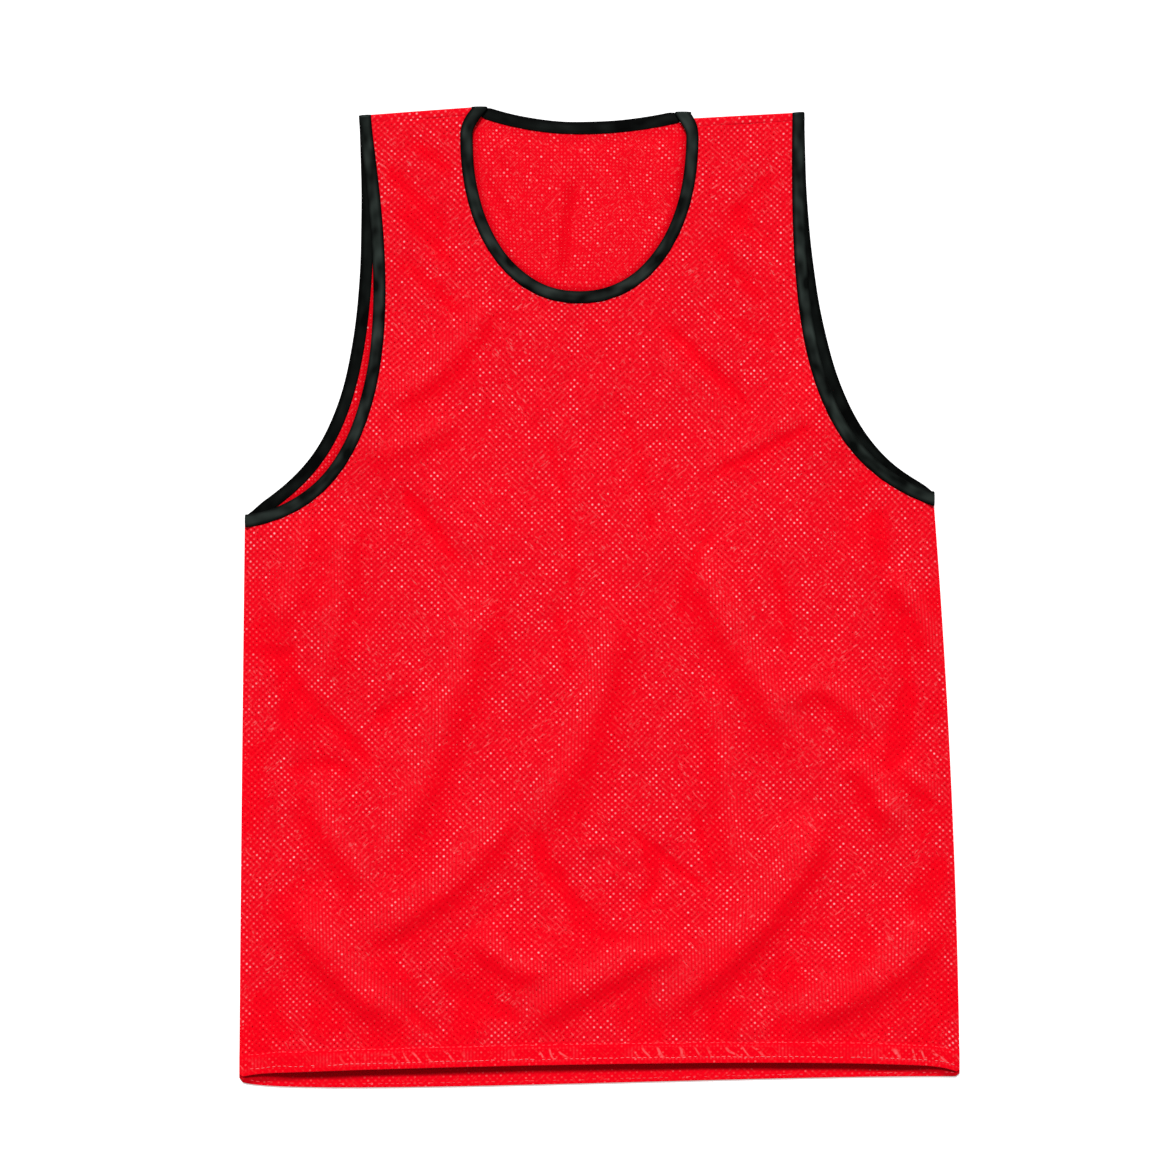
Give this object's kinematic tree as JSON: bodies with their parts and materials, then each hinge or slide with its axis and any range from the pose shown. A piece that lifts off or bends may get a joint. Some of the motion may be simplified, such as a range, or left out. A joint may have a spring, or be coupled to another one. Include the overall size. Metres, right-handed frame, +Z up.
{
  "type": "training bib",
  "caption": "Sleeveless mesh training bib laid flat, with bound scoop neck, bound deep armholes, turned-up hem and soft creases.",
  "frame": {"origin": "middle of the garment's footprint, on the surface that it lies on", "axes": "+X across the chest, to the right of the laid garment seen from above; +Y from hem to shoulders; +Z up, out of the front"},
  "size_m": [0.554, 0.7532, 0.013],
  "materials": {
    "mesh_cloth": "satin",
    "binding_tape": "satin"
  },
  "bodies": {
    "root": {"back_panel": "mesh_cloth", "back_hem": "mesh_cloth", "front_panel": "mesh_cloth", "front_hem": "mesh_cloth", "neck_binding": "binding_tape", "left_armhole_binding": "binding_tape", "right_armhole_binding": "binding_tape"}
  },
  "joints": []
}
